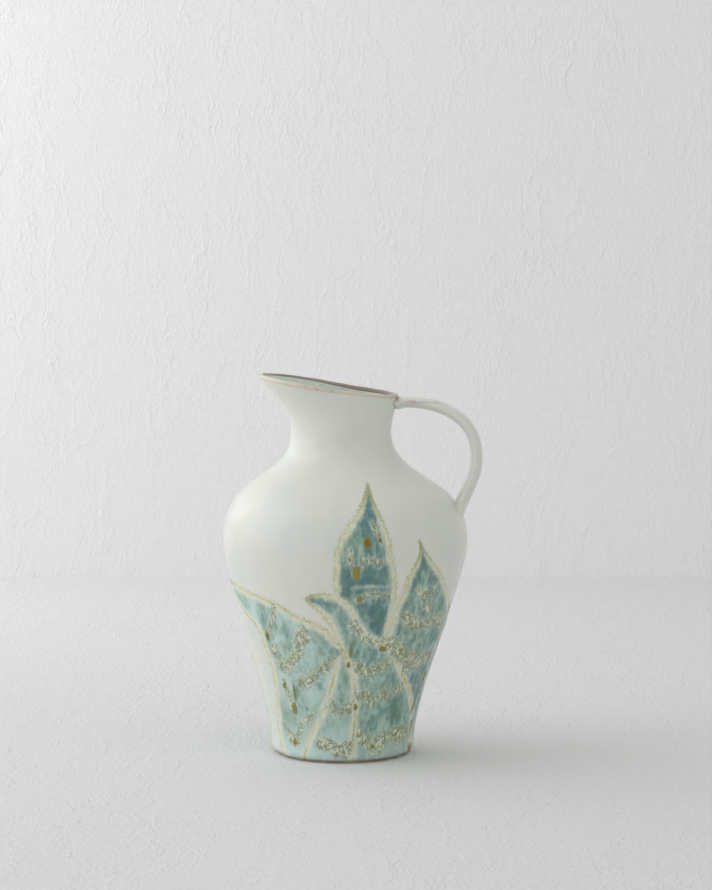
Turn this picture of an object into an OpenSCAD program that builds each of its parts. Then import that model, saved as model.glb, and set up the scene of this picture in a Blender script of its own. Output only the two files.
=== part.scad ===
// Ceramic pitcher with an oval pouring mouth, a strap handle and raised leaf glaze.
// Millimetres. +Z is up, the vessel's axis is Z and the foot stands on Z = 0.
// The spout points to -X, the handle to +X, and -Y is the front.

/* [Body] */
// Outer radius of the wall just above the foot
foot_r = 59.5; // [54:0.5:66]
// Greatest outer radius of the body
belly_r = 102.5; // [88:0.5:115]
// Height of the greatest radius
belly_z = 180; // [160:1:195]
// Smallest outer radius of the neck
neck_r = 42; // [38:0.5:50]
// Height of the neck's narrowest place
neck_z = 271; // [262:1:285]
// How far the wall climbs steeply before it swells to the belly
foot_rise = 44; // [30:1:55]
// How long the belly stays full below its widest place
belly_fullness = 36; // [25:1:45]
// How long the shoulder stays full above the widest place
shoulder_fullness = 57; // [45:1:62]
// How far the throat comes down into the shoulder
throat_depth = 42; // [30:1:50]
// Thickness of the clay wall
wall_t = 4.6; // [3.5:0.1:6]
// Thickness of the clay floor
floor_t = 6; // [4:0.5:9]

/* [Mouth] */
// Distance from the axis to the tip of the spout
spout_r = 68.5; // [58:0.5:76]
// Distance from the axis to the mouth's edge beside the handle
back_r = 47.4; // [45:0.1:56]
// Half the width of the mouth from front to back
side_r = 41; // [38:0.5:50]
// Height from the neck to the tip of the spout
spout_rise = 46.4; // [38:0.1:60]
// Height from the neck to the mouth's edge beside the handle
back_rise = 30.4; // [24:0.1:40]
// Direction of the spout about the axis, in degrees from the handle
spout_angle = 184; // [174:1:186]
// Wall thickness at the mouth
lip_t = 3.6; // [3:0.1:4.5]
// Height of the bare brown band on the mouth's edge
band_h = 3.2; // [2.4:0.1:5]

/* [Foot] */
// How far the unglazed ring that the pitcher stands on sits in from the wall
ring_inset = 5.5; // [3:0.5:9]
// Width of the ring
ring_w = 7; // [4:0.5:12]
// Height of the ring
ring_h = 2.4; // [1.5:0.1:4]
// Radius of the rounded bottom edge of the body
heel_r = 5; // [3:0.5:7]

/* [Handle] */
// Thickness of the strap, measured in the loop's own plane
strap_t = 10.4; // [8:0.2:13]
// Width of the strap across the loop
strap_w = 19; // [14:0.5:24]
// How far the middle of the strap stands out beyond the belly where the loop reaches furthest
loop_out = 11.3; // [4:0.1:20]
// How far below the mouth's edge the loop reaches furthest
loop_drop = 51.4; // [44:0.1:58]
// How far the top of the strap lies below the mouth's edge
strap_drop = 1; // [0:0.1:4]
// How far above the belly's widest place the lower end of the strap meets the shoulder
joint_rise = 23; // [16:1:30]
// How far the lower end of the strap leans to the front
strap_lean = 8; // [-12:0.5:12]

/* [Leaf glaze] */
// Height of the tallest leaf's tip
leaf_top = 231; // [190:1:245]
// Thickness of the glaze at the middle of a leaf
glaze_t = 0.8; // [0.5:0.1:1.5]
// Thickness of the glaze at a leaf's edge
glaze_edge_t = 0.2; // [0.1:0.05:0.4]
// Turn of the back cluster of leaves from the front one, in degrees
back_turn = 180; // [174:1:186]

/* [Hidden] */

white_glaze = [0.90, 0.91, 0.88];
brown_rim = [0.50, 0.33, 0.20];
bare_clay = [0.55, 0.46, 0.38];
leaf_glaze = [0.42, 0.63, 0.63];

profile_steps = 18;      // stretches in each curve of the body's profile
turn_steps = 72;         // columns round the mouth
neck_steps = 11;         // rows from the neck to the mouth
strap_steps = 40;        // rings along the handle
strap_sides = 20;        // sides of the strap's section
skin_gap = 0.05;         // clearance that keeps a faceted glaze patch off the body's wall
joint_depth = 9;         // how far the strap's ends run on past the wall before they are cut
lip_climb = 0.35;        // share of the mouth's height at which the throat starts to open
lip_flare = 0.41;        // share of the mouth's reach over which the lip runs straight
lip_level = 0.31;        // share of the mouth's height over which the lip runs straight
mouth_bow = 1.04;        // length of the neck's curve over its straight chord, for the band's share of it
round_steps = 96;        // facets round each turned solid
corner_step = 22.5;      // degrees between points on the inner corner's arc
band_step = 30;          // degrees between points on the rim band's rounded edge
crown_reach = 36.4;      // how far short of its furthest reach the loop's top arm begins to bend
crown_lift = 3.6;        // how far the loop's top arm rises past its root
crown_pull = 36.7;       // how far above its widest height the loop's top bend ends
side_pull = 18.2;        // how far below its widest height the loop runs on straight
tail_pull = 31.5;        // how far above the shoulder joint the strap lines up with it
tail_way = [0.35, 0.94]; // direction of the strap's lower end, out and up
tail_inset = 1.5;        // how far inside the wall's face the lower joint is centred
joint_spread = 0.18;     // share by which the strap widens at its joints
spread_power = 4;        // how late that widening comes
tail_thinning = 0.4;     // share by which the strap thins at its lower end
thinning_power = 14;     // how late that thinning comes

// ---- Curves ----

function bezier(p, t) =
    pow(1 - t, 3) * p[0] + 3 * pow(1 - t, 2) * t * p[1] + 3 * (1 - t) * t * t * p[2] + pow(t, 3) * p[3];

function bezier_way(p, t) =
    let (d = pow(1 - t, 2) * (p[1] - p[0]) + 2 * (1 - t) * t * (p[2] - p[1]) + t * t * (p[3] - p[2]))
    d / norm(d);

// The normal on the axis side of a curve that climbs: for [radius, height] points.
function inward(p, t) = let (d = bezier_way(p, t)) [-d[1], d[0]];

function mix(a, b, s) = a + (b - a) * s;

// A smooth curve through the rows of a table, at u from 0 to its last row.
function through(rows, u) =
    let (last = len(rows) - 1, i = min(floor(u), last - 1), s = u - i,
        a = rows[max(i - 1, 0)], b = rows[i], c = rows[i + 1], d = rows[min(i + 2, last)])
    b + 0.5 * s * (c - a + s * (2 * a - 5 * b + 4 * c - d + s * (3 * (b - c) + d - a)));

// ---- The body's profile, as [radius, height] ----

ring_r = foot_r - ring_inset;
heel_z = ring_h + heel_r;
lower_wall = [[foot_r, heel_z], [foot_r, heel_z + foot_rise],
    [belly_r, belly_z - belly_fullness], [belly_r, belly_z]];
upper_wall = [[belly_r, belly_z], [belly_r, belly_z + shoulder_fullness],
    [neck_r, neck_z - throat_depth], [neck_r, neck_z]];
floor_z = ring_h + floor_t;
corner_r = wall_t;

function steps(n, first = 0) = [for (i = [first:n]) i / n];

outside = concat(
    [for (a = [0:15:75]) [foot_r - heel_r + heel_r * sin(a), heel_z - heel_r * cos(a)]],
    [for (t = steps(profile_steps)) bezier(lower_wall, t)],
    [for (t = steps(profile_steps, 1)) bezier(upper_wall, t)]);

inside = concat(
    [for (t = steps(profile_steps)) bezier(lower_wall, t) + wall_t * inward(lower_wall, t)],
    [for (t = steps(profile_steps, 1)) bezier(upper_wall, t) + wall_t * inward(upper_wall, t)]);

inside_above_corner = [for (p = inside) if (p[1] > floor_z + corner_r) p];
corner = [inside_above_corner[0][0] - corner_r, floor_z + corner_r];

function reversed(list) = [for (i = [len(list) - 1:-1:0]) list[i]];

// Outer radius of the body at a height, read along the profile.
function wall_r(z) = lookup(z, [for (p = outside) [p[1], p[0]]]);

// ---- The mouth ----

spout_z = neck_z + spout_rise;
back_z = neck_z + back_rise;

// The mouth's edge seen from above: an oval drawn out to the spout.
function mouth_r(angle) =
    let (mean = (spout_r + back_r) / 2, a = angle - spout_angle)
    (mean + side_r) / 2 + (spout_r - back_r) / 2 * cos(a) + (mean - side_r) / 2 * cos(2 * a);

// The mouth is cut by one slanting plane, from the spout down to the handle.
function mouth_z(angle) =
    mix(back_z, spout_z, (back_r + mouth_r(angle) * cos(angle - spout_angle)) / (back_r + spout_r));

function neck_curve(angle) =
    let (r = mouth_r(angle), z = mouth_z(angle), open = r - neck_r, climb = z - neck_z)
    [[neck_r, neck_z], [neck_r, neck_z + lip_climb * climb],
        [r - lip_flare * open, z - lip_level * climb], [r, z]];

// The share of the neck's curve below the brown band.
function neck_share(angle) = let (c = neck_curve(angle)) 1 - band_h / (mouth_bow * norm(c[3] - c[0]));

function turned(p, angle) = [p[0] * cos(angle), p[0] * sin(angle), p[1]];

function neck_ring(row, depth) = [for (i = [0:turn_steps - 1])
    let (angle = i * 360 / turn_steps, c = neck_curve(angle), share = row / neck_steps,
        t = share * neck_share(angle), thick = depth * mix(wall_t, lip_t, share))
    turned(bezier(c, t) + thick * inward(c, t), angle)];

// The band's section, as points along and into the wall, from its outer foot over the edge to its inner foot.
function band_section() = let (r = lip_t / 2) concat([[0, 0]],
    [for (a = [0:band_step:180]) [band_h - r + r * sin(a), r - r * cos(a)]], [[0, lip_t]]);

function band_ring(p) = [for (i = [0:turn_steps - 1])
    let (angle = i * 360 / turn_steps, c = neck_curve(angle), t = neck_share(angle), way = bezier_way(c, t))
    turned(bezier(c, t) + p[0] * way + p[1] * [-way[1], way[0]], angle)];

// ---- Solids made from rings of points ----

function flat(lists) = [for (list = lists) each list];

// Walls between neighbouring rings. A tube closes on itself. Any other stack has its two end rings as caps.
module stacked(rings, tube = false) {
    n = len(rings[0]);
    last = len(rings) - 1;
    walls = [for (row = [0:tube ? last : last - 1], i = [0:n - 1])
        let (a = row * n, b = (row == last ? 0 : row + 1) * n, j = (i + 1) % n)
        each [[a + i, b + i, b + j], [a + i, b + j, a + j]]];
    caps = tube ? [] : [[for (i = [0:n - 1]) i], [for (i = [n - 1:-1:0]) last * n + i]];
    polyhedron(flat(rings), concat(walls, caps));
}

// ---- Sub-parts ----

module foot_ring() {
    color(bare_clay)
        difference() {
            cylinder(h = ring_h, r = ring_r, $fn = round_steps);
            translate([0, 0, -1]) cylinder(h = ring_h + 2, r = ring_r - ring_w, $fn = round_steps);
        }
}

module body() {
    color(white_glaze)
        rotate_extrude($fn = round_steps)
            polygon(concat([[0, ring_h]], outside, reversed(inside_above_corner),
                [for (a = [0:corner_step:90]) corner + corner_r * [cos(a), -sin(a)]], [[0, floor_z]]));
}

module neck_and_spout() {
    color(white_glaze)
        stacked(concat([for (row = [0:neck_steps]) neck_ring(row, 0)],
            [for (row = [neck_steps:-1:0]) neck_ring(row, 1)]), tube = true);
}

module rim_band() {
    color(brown_rim)
        stacked([for (p = band_section()) band_ring(p)], tube = true);
}

// The vessel with no hollow in it, which the strap's ends are cut to.
module vessel_envelope() {
    rotate_extrude($fn = round_steps) polygon(concat([[0, ring_h]], outside, [[0, neck_z]]));
    stacked(concat([for (row = [0:neck_steps]) neck_ring(row, 0)],
        [for (p = band_section()) if (p[0] > 0 && p[1] <= lip_t / 2) band_ring(p)]));
}

loop_reach = belly_r + loop_out;
loop_z = back_z - loop_drop;
shoulder_joint_z = belly_z + joint_rise;
strap_top_z = back_z - strap_drop - strap_t / 2;
upper_loop = [[back_r - joint_depth, strap_top_z], [loop_reach - crown_reach, strap_top_z + crown_lift],
    [loop_reach, loop_z + crown_pull], [loop_reach, loop_z]];
shoulder_joint = [wall_r(shoulder_joint_z) - tail_inset, shoulder_joint_z] - joint_depth * tail_way;
lower_loop = [[loop_reach, loop_z], [loop_reach, loop_z - side_pull],
    shoulder_joint + tail_pull * tail_way, shoulder_joint];

function strap_point(share) = share < 0.5 ? bezier(upper_loop, 2 * share) : bezier(lower_loop, 2 * share - 1);
function strap_way(share) =
    share < 0.5 ? bezier_way(upper_loop, 2 * share) : bezier_way(lower_loop, 2 * share - 1);

// One ring of the strap: a flattened oval square to its path, wider at both joints and thin at the lower one.
function strap_ring(share) =
    let (p = strap_point(share), way = strap_way(share),
        spread = 1 + joint_spread * pow(abs(2 * share - 1), spread_power),
        thin = 1 - tail_thinning * pow(share, thinning_power))
    [for (i = [0:strap_sides - 1])
        let (a = i * 360 / strap_sides, out = strap_t / 2 * thin * cos(a),
            across = strap_w / 2 * spread * sin(a) - strap_lean * share * share)
        [p[0] - way[1] * out, across, p[1] + way[0] * out]];

module handle() {
    color(white_glaze)
        difference() {
            stacked([for (share = steps(strap_steps)) strap_ring(share)]);
            vessel_envelope();
        }
}

// ---- Leaf glaze ----
// A leaf is a row of ribs from its foot to its tip. Each rib is [bearing, height, bearing, height] of its
// left and right ends on the wall. Bearings are in degrees from the front, growing towards the handle.

tall_ribs = [[11, 118, 30, 103], [6, 131, 31, 124], [2, 146, 32, 143], [1, 163, 31, 161],
    [3, 183, 28, 181], [9, 206, 25, 206], [17, 221, 24, 221], [22, 231, 23, 231]];
front_ribs = [[14, 8, 57, 8], [13, 32, 59, 32], [12, 60, 49, 62], [11, 92, 35, 92], [6, 103, 23, 104],
    [0, 114, 10, 117], [-5, 125, 4, 131], [-9, 135, -2, 142], [-12, 141, -8, 146], [-14, 144, -13, 145]];
right_ribs = [[77, 8, 105, 8], [70, 32, 105, 32], [58, 60, 103, 60], [41, 84, 99, 86], [32, 102, 93, 110],
    [33, 118, 84, 124], [35, 136, 74, 137], [38, 154, 63, 152], [40, 171, 52, 169], [43, 186, 44, 186]];
left_ribs = [[-56, 8, -28, 8], [-54, 30, -19, 28], [-51, 52, -10, 50], [-48, 72, -1, 73],
    [-45, 92, 4, 96], [-46, 109, -5, 113], [-51, 118, -17, 126], [-59, 125, -39, 137],
    [-66, 135, -57, 142], [-69, 148, -68, 148]];
small_ribs = [[-26, 8, 12, 8], [-17, 28, 11, 28], [-8, 50, 10, 50], [1, 74, 9, 74], [6, 95, 7, 95]];

leaf_foot = 8;      // height of every leaf's foot
drawn_top = 231;    // the tallest leaf's tip in the tables above
leaf_rows = 3;      // rows of facets between two ribs
leaf_columns = 10;  // facets across a leaf

// A point on the wall, lifted clear of it by a distance square to the axis.
function on_wall(bearing, drawn_z, lift) =
    let (z = mix(leaf_foot, leaf_top, (drawn_z - leaf_foot) / (drawn_top - leaf_foot)),
        r = wall_r(z) + skin_gap + lift)
    [r * sin(bearing), -r * cos(bearing), z];

function leaf_row(rib, crown) = [for (j = [0:leaf_columns])
    let (s = j / leaf_columns, lift = crown * mix(glaze_edge_t, glaze_t, sin(180 * s)))
    on_wall(mix(rib[0], rib[2], s), mix(rib[1], rib[3], s), lift)];

// Each ring runs across the leaf's outer face and back along the wall.
module leaf(ribs, turn) {
    rows = (len(ribs) - 1) * leaf_rows;
    color(leaf_glaze)
        rotate(turn)
            stacked([for (i = [0:rows]) let (rib = through(ribs, i / leaf_rows))
                concat(leaf_row(rib, 1), reversed(leaf_row(rib, 0)))]);
}

module tall_leaf(turn = 0) leaf(tall_ribs, turn);
module front_leaf(turn = 0) leaf(front_ribs, turn);
module right_leaf(turn = 0) leaf(right_ribs, turn);
module left_leaf(turn = 0) leaf(left_ribs, turn);
module small_leaf(turn = 0) leaf(small_ribs, turn);

foot_ring();
body();
neck_and_spout();
rim_band();
handle();
tall_leaf();
front_leaf();
right_leaf();
left_leaf();
small_leaf();
tall_leaf(back_turn);  // back_tall_leaf
front_leaf(back_turn);  // back_front_leaf
right_leaf(back_turn);  // back_right_leaf
left_leaf(back_turn);  // back_left_leaf
small_leaf(back_turn);  // back_small_leaf
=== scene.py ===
import math
import bpy
import numpy as np
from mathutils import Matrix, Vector


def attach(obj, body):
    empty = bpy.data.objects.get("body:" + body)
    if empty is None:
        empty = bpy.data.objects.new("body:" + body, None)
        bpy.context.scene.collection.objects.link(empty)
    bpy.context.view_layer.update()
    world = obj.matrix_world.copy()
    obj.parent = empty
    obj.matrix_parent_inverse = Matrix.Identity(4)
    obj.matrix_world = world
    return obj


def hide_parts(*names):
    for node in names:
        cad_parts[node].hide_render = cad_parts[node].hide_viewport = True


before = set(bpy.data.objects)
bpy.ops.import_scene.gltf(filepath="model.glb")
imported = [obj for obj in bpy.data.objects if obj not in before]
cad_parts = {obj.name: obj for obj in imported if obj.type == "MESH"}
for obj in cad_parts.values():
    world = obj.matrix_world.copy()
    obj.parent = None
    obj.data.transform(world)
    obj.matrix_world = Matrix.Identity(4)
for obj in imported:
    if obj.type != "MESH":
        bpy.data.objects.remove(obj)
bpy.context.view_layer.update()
mm = 0.001
print("frame loaded:", len(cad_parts), "nodes")


class Flow:
    # one socket; an expression on it adds Math nodes
    def __init__(self, bench, socket):
        self.bench = bench
        self.socket = socket

    def maths(self, operation, *others):
        values = {0: self}
        for place, other in enumerate(others):
            values[place + 1] = other
        return self.bench.node("ShaderNodeMath", {"operation": operation}, values)

    def swapped(self, operation, other):
        return self.bench.node("ShaderNodeMath", {"operation": operation}, {0: other, 1: self})

    def __add__(self, other):
        return self.maths("ADD", other)

    def __radd__(self, other):
        return self.maths("ADD", other)

    def __sub__(self, other):
        return self.maths("SUBTRACT", other)

    def __rsub__(self, other):
        return self.swapped("SUBTRACT", other)

    def __mul__(self, other):
        return self.maths("MULTIPLY", other)

    def __rmul__(self, other):
        return self.maths("MULTIPLY", other)

    def __truediv__(self, other):
        return self.maths("DIVIDE", other)

    def __rtruediv__(self, other):
        return self.swapped("DIVIDE", other)

    def __pow__(self, other):
        return self.maths("POWER", other)

    def __neg__(self):
        return self.maths("MULTIPLY", -1.0)

    def __abs__(self):
        return self.maths("ABSOLUTE")

    def least(self, other):
        return self.maths("MINIMUM", other)

    def most(self, other):
        return self.maths("MAXIMUM", other)

    def held(self, low=0.0, high=1.0):
        return self.most(low).least(high)

    def eased(self, low, high):
        # 0 below low, 1 above high, smooth between them
        return self.bench.node("ShaderNodeMapRange", {"interpolation_type": "SMOOTHSTEP"},
                               {0: self, 1: low, 2: high, 3: 0.0, 4: 1.0})


class Bench:
    # adds nodes to one tree: settings first, then values or links
    def __init__(self, tree):
        self.tree = tree
        tree.nodes.clear()

    def node(self, kind, settings=None, values=None, out=0):
        made = self.tree.nodes.new(kind)
        for name, value in (settings or {}).items():
            if name == "stops":
                ramp = made.color_ramp
                while len(ramp.elements) < len(value):
                    ramp.elements.new(0.5)
                for stop, (place, colour) in zip(ramp.elements, value):
                    stop.position = place
                    stop.color = colour
            else:
                setattr(made, name, value)
        for key, value in (values or {}).items():
            if isinstance(value, Flow):
                self.tree.links.new(value.socket, made.inputs[key])
            elif value is not None:
                made.inputs[key].default_value = value
        if isinstance(out, (list, tuple)):
            return [Flow(self, made.outputs[name]) for name in out]
        return Flow(self, made.outputs[out]) if len(made.outputs) else made

    def mixed(self, share, under, over, how="MIX"):
        return self.node("ShaderNodeMix", {"data_type": "RGBA", "blend_type": how},
                         {0: share, 6: under, 7: over}, out=2)

    def scaled(self, vector, factors):
        return self.node("ShaderNodeVectorMath", {"operation": "MULTIPLY"}, {0: vector, 1: factors})

    def noise(self, vector, scale, detail=3.0, rough=0.5, out=0):
        return self.node("ShaderNodeTexNoise", {},
                         {"Vector": vector, "Scale": scale, "Detail": detail, "Roughness": rough}, out)

    def parts(self, vector):
        return self.node("ShaderNodeSeparateXYZ", {}, {0: vector}, out=(0, 1, 2))


def tone(red, green, blue):
    # a colour as an eye reads it, 0 to 255, made linear
    def straight(value):
        value = value / 255
        return value / 12.92 if value < 0.04045 else ((value + 0.055) / 1.055) ** 2.4
    return (straight(red), straight(green), straight(blue), 1.0)


def newFinish(name):
    finish = bpy.data.materials.new(name)
    finish.use_nodes = True
    return finish, Bench(finish.node_tree)


def closeFinish(bench, values):
    shader = bench.node("ShaderNodeBsdfPrincipled", {}, values)
    bench.node("ShaderNodeOutputMaterial", {}, {"Surface": shader})


def sine(value):
    return value.maths("SINE") if isinstance(value, Flow) else np.sin(value)


def cosine(value):
    return value.maths("COSINE") if isinstance(value, Flow) else np.cos(value)


def bell(value):
    # 1 at zero, falling off on both sides
    power = -1.0 * value * value
    return power.maths("EXPONENT") if isinstance(value, Flow) else np.exp(power)


def root(value):
    return value.maths("SQRT") if isinstance(value, Flow) else np.sqrt(value)


pot = {
    "Foot Radius": 59.5, "Heel Radius": 5.0, "Ring Height": 2.4, "Foot Rise": 44.0,
    "Belly Radius": 102.5, "Belly Height": 180.0, "Belly Fullness": 36.0,
    "Shoulder Fullness": 57.0, "Throat Depth": 42.0, "Neck Radius": 42.0, "Neck Height": 271.0,
    "Spout Radius": 70.0, "Back Radius": 47.4, "Side Radius": 41.0,
    "Spout Height": 317.3, "Back Height": 301.4, "Spout Bearing": math.radians(184.0),
    "Lip Climb": 0.35, "Lip Flare": 0.41, "Lip Level": 0.31,
    "Wall": 4.6, "Lip": 3.6, "Band Height": 3.2, "Floor": 6.0,
}
hand = {                                   # unevenness left by the thrower's hand
    "bellyShift": 2.6, "bellyAt": 165.0, "bellySpan": 75.0,
    "shoulderShift": -1.5, "shoulderAt": 233.0, "shoulderSpan": 13.0,
    "neckShift": -1.4, "neckAt": 262.0, "neckSpan": 28.0,
    "ripple": 0.16,
}
mesh = {"columns": 288, "rimColumns": 360}


def bezier(ends, t):
    back = 1.0 - t
    return (ends[0] * back * back * back + ends[1] * 3.0 * back * back * t
            + ends[2] * 3.0 * back * t * t + ends[3] * t * t * t)


def bezierSlope(ends, t):
    back = 1.0 - t
    return ((ends[1] - ends[0]) * 3.0 * back * back + (ends[2] - ends[1]) * 6.0 * back * t
            + (ends[3] - ends[2]) * 3.0 * t * t)


def handShift(z):
    return (hand["bellyShift"] * bell((z - hand["bellyAt"]) / hand["bellySpan"])
            + hand["shoulderShift"] * bell((z - hand["shoulderAt"]) / hand["shoulderSpan"])
            + hand["neckShift"] * bell((z - hand["neckAt"]) / hand["neckSpan"]))


def handRipple(turn, z):
    # faint throwing waves, none at the foot and none at the lip
    held = bell((z - 150.0) / 85.0)
    return held * hand["ripple"] * (sine(turn * 3.0 + z / 29.0) + sine(turn * 2.0 - z / 17.0 + 1.0)
                                    + 0.7 * sine(turn * 5.0 + z / 41.0 + 2.0) - 0.9)


def lowerEnds(p):
    heelTop = p["Ring Height"] + p["Heel Radius"]
    return ((p["Foot Radius"], p["Foot Radius"], p["Belly Radius"], p["Belly Radius"]),
            (heelTop, heelTop + p["Foot Rise"], p["Belly Height"] - p["Belly Fullness"], p["Belly Height"]))


def upperEnds(p):
    return ((p["Belly Radius"], p["Belly Radius"], p["Neck Radius"], p["Neck Radius"]),
            (p["Belly Height"], p["Belly Height"] + p["Shoulder Fullness"],
             p["Neck Height"] - p["Throat Depth"], p["Neck Height"]))


def mouthEnds(p, turn):
    # the neck's curve on one bearing, out to the mouth's edge
    away = turn - p["Spout Bearing"]
    mean = (p["Spout Radius"] + p["Back Radius"]) / 2.0
    reach = ((mean + p["Side Radius"]) / 2.0
             + (p["Spout Radius"] - p["Back Radius"]) / 2.0 * cosine(away)
             + (mean - p["Side Radius"]) / 2.0 * cosine(away * 2.0))
    along = (p["Back Radius"] + reach * cosine(away)) / (p["Back Radius"] + p["Spout Radius"])
    height = p["Back Height"] + (p["Spout Height"] - p["Back Height"]) * along
    opened = reach - p["Neck Radius"]
    climb = height - p["Neck Height"]
    radii = (p["Neck Radius"], p["Neck Radius"], reach - opened * p["Lip Flare"], reach)
    heights = (p["Neck Height"], p["Neck Height"] + climb * p["Lip Climb"],
               height - climb * p["Lip Level"], height)
    chord = root(opened * opened + climb * climb)
    stop = 1.0 - p["Band Height"] / (chord * 1.04)
    return radii, heights, stop


def newShape(name, sizes):
    tree = bpy.data.node_groups.new(name, "GeometryNodeTree")
    marks = {}
    for label, value in sizes.items():
        kind = "NodeSocketInt" if isinstance(value, int) else "NodeSocketFloat"
        item = tree.interface.new_socket(name=label, in_out="INPUT", socket_type=kind)
        marks[label] = item.identifier
    tree.interface.new_socket(name="Geometry", in_out="OUTPUT", socket_type="NodeSocketGeometry")
    bench = Bench(tree)
    given = bench.node("NodeGroupInput", {}, {}, out=list(sizes))
    return tree, bench, dict(zip(sizes, given)), marks


def gridShares(bench, columns, rows):
    # a unit sheet: u runs around, v runs along
    sheet = bench.node("GeometryNodeMeshGrid", {},
                       {"Size X": 1.0, "Size Y": 1.0, "Vertices X": columns, "Vertices Y": rows})
    x, y, _ = bench.parts(bench.node("GeometryNodeInputPosition"))
    return sheet, x + 0.5, y + 0.5


def placed(bench, sheet, x, y, z):
    spot = bench.node("ShaderNodeCombineXYZ", {}, {0: x * mm, 1: y * mm, 2: z * mm})
    return bench.node("GeometryNodeSetPosition", {}, {"Geometry": sheet, "Position": spot})


def closeShape(bench, sheets, finish):
    joined = bench.tree.nodes.new("GeometryNodeJoinGeometry")
    for sheet in reversed(sheets):
        bench.tree.links.new(sheet.socket, joined.inputs[0])
    welded = bench.node("GeometryNodeMergeByDistance", {},
                        {"Geometry": Flow(bench, joined.outputs[0]), "Distance": 0.02 * mm})
    smooth = bench.node("GeometryNodeSetShadeSmooth", {}, {0: welded})
    real = bench.node("GeometryNodeRealizeInstances", {}, {0: smooth})
    dressed = bench.node("GeometryNodeSetMaterial", {}, {"Geometry": real, "Material": finish})
    bench.node("NodeGroupOutput", {}, {0: dressed})


def shapeToMesh(name, tree, marks, sizes):
    piece = bpy.data.objects.new(name, bpy.data.meshes.new(name))
    bpy.context.scene.collection.objects.link(piece)
    shaper = piece.modifiers.new("shape", "NODES")
    shaper.node_group = tree
    for label, value in sizes.items():
        shaper[marks[label]] = value
    bpy.context.view_layer.update()
    graph = bpy.context.evaluated_depsgraph_get()
    result = bpy.data.meshes.new_from_object(piece.evaluated_get(graph), preserve_all_data_layers=True,
                                             depsgraph=graph)
    piece.modifiers.remove(shaper)
    piece.data = result
    result.name = name
    print(name, "made:", len(result.polygons), "faces")
    return piece


def storeNumbers(data, name, values):
    attribute = data.attributes.new(name, "FLOAT", "POINT")
    attribute.data.foreach_set("value", values.astype(np.float32).ravel())


def storeTriples(data, name, values):
    attribute = data.attributes.new(name, "FLOAT_VECTOR", "POINT")
    attribute.data.foreach_set("vector", values.astype(np.float32).ravel())


whiteGlaze = {
    "body": tone(225, 227, 219), "cool": tone(217, 223, 215), "warm": tone(228, 227, 217),
    "roughness": 0.22, "shine": 0.28,
}


def glazeGround(bench, place):
    # the white glaze itself: colour, roughness and a height for the bump
    drift = bench.noise(place, 14.0, 3.0, 0.55)
    cloud = bench.noise(bench.scaled(place, (1.0, 1.0, 0.5)), 42.0, 4.0, 0.6)
    colour = bench.mixed(drift.eased(0.35, 0.65), whiteGlaze["cool"], whiteGlaze["warm"])
    colour = bench.mixed(cloud.eased(0.3, 0.7) * 0.6, colour, whiteGlaze["body"])
    speck = bench.node("ShaderNodeTexVoronoi", {"feature": "F1"}, {"Vector": place, "Scale": 85.0}, out=(0, 1))
    pick = bench.parts(speck[1])[0].eased(0.90, 0.93)
    dot = (1.0 - speck[0].eased(0.03, 0.075)) * pick
    colour = bench.mixed(dot * 0.22, colour, tone(168, 160, 132))
    rough = whiteGlaze["roughness"] + (cloud - 0.5) * 0.08 + dot * 0.15
    wave = bench.noise(place, 26.0, 2.0, 0.4) + bench.noise(place, 310.0, 2.0, 0.5) * 0.05
    return colour, rough, wave


def makeVesselFinish():
    finish, bench = newFinish("whiteGlazeWall")
    place = bench.node("ShaderNodeTexCoord", {}, {}, out="Object")
    x, y, z = bench.parts(place)
    colour, rough, wave = glazeGround(bench, place)
    inside = bench.node("ShaderNodeAttribute", {"attribute_name": "inside"}, {}, out="Fac")
    lipGap = bench.node("ShaderNodeAttribute", {"attribute_name": "lipGap"}, {}, out="Fac")
    ragged = bench.noise(bench.scaled(place, (1.0, 1.0, 0.6)), 190.0, 3.0, 0.6)
    # inside, the glaze pools a pale sea green
    pooled = bench.mixed(ragged.eased(0.35, 0.7), tone(206, 222, 212), tone(222, 230, 222))
    colour = bench.mixed(inside.eased(0.2, 0.8) * 0.75, colour, pooled)
    # towards the lip it thins: cream, then tan under the brown band
    below = lipGap + (ragged - 0.5) * 3.2
    cream = 1.0 - below.eased(1.2, 4.6)
    tan = 1.0 - below.eased(-0.6, 1.5)
    colour = bench.mixed(cream * 0.55, colour, tone(214, 208, 176))
    colour = bench.mixed(tan * 0.8, colour, tone(176, 132, 84))
    # at the heel it stops in a thin brown line over a pale blue roll
    low = z / mm + (ragged - 0.5) * 2.0
    colour = bench.mixed((1.0 - low.eased(5.0, 10.0)) * 0.4, colour, tone(206, 222, 220))
    bare = 1.0 - low.eased(2.2, 3.2)
    colour = bench.mixed(bare * 0.7, colour, tone(150, 130, 100))
    rough = rough + bare * 0.3
    bump = bench.node("ShaderNodeBump", {}, {"Strength": 0.35, "Distance": 0.0006, "Height": wave})
    closeFinish(bench, {"Base Color": colour, "Roughness": rough, "Normal": bump,
                        "Specular IOR Level": whiteGlaze["shine"]})
    return finish


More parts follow.
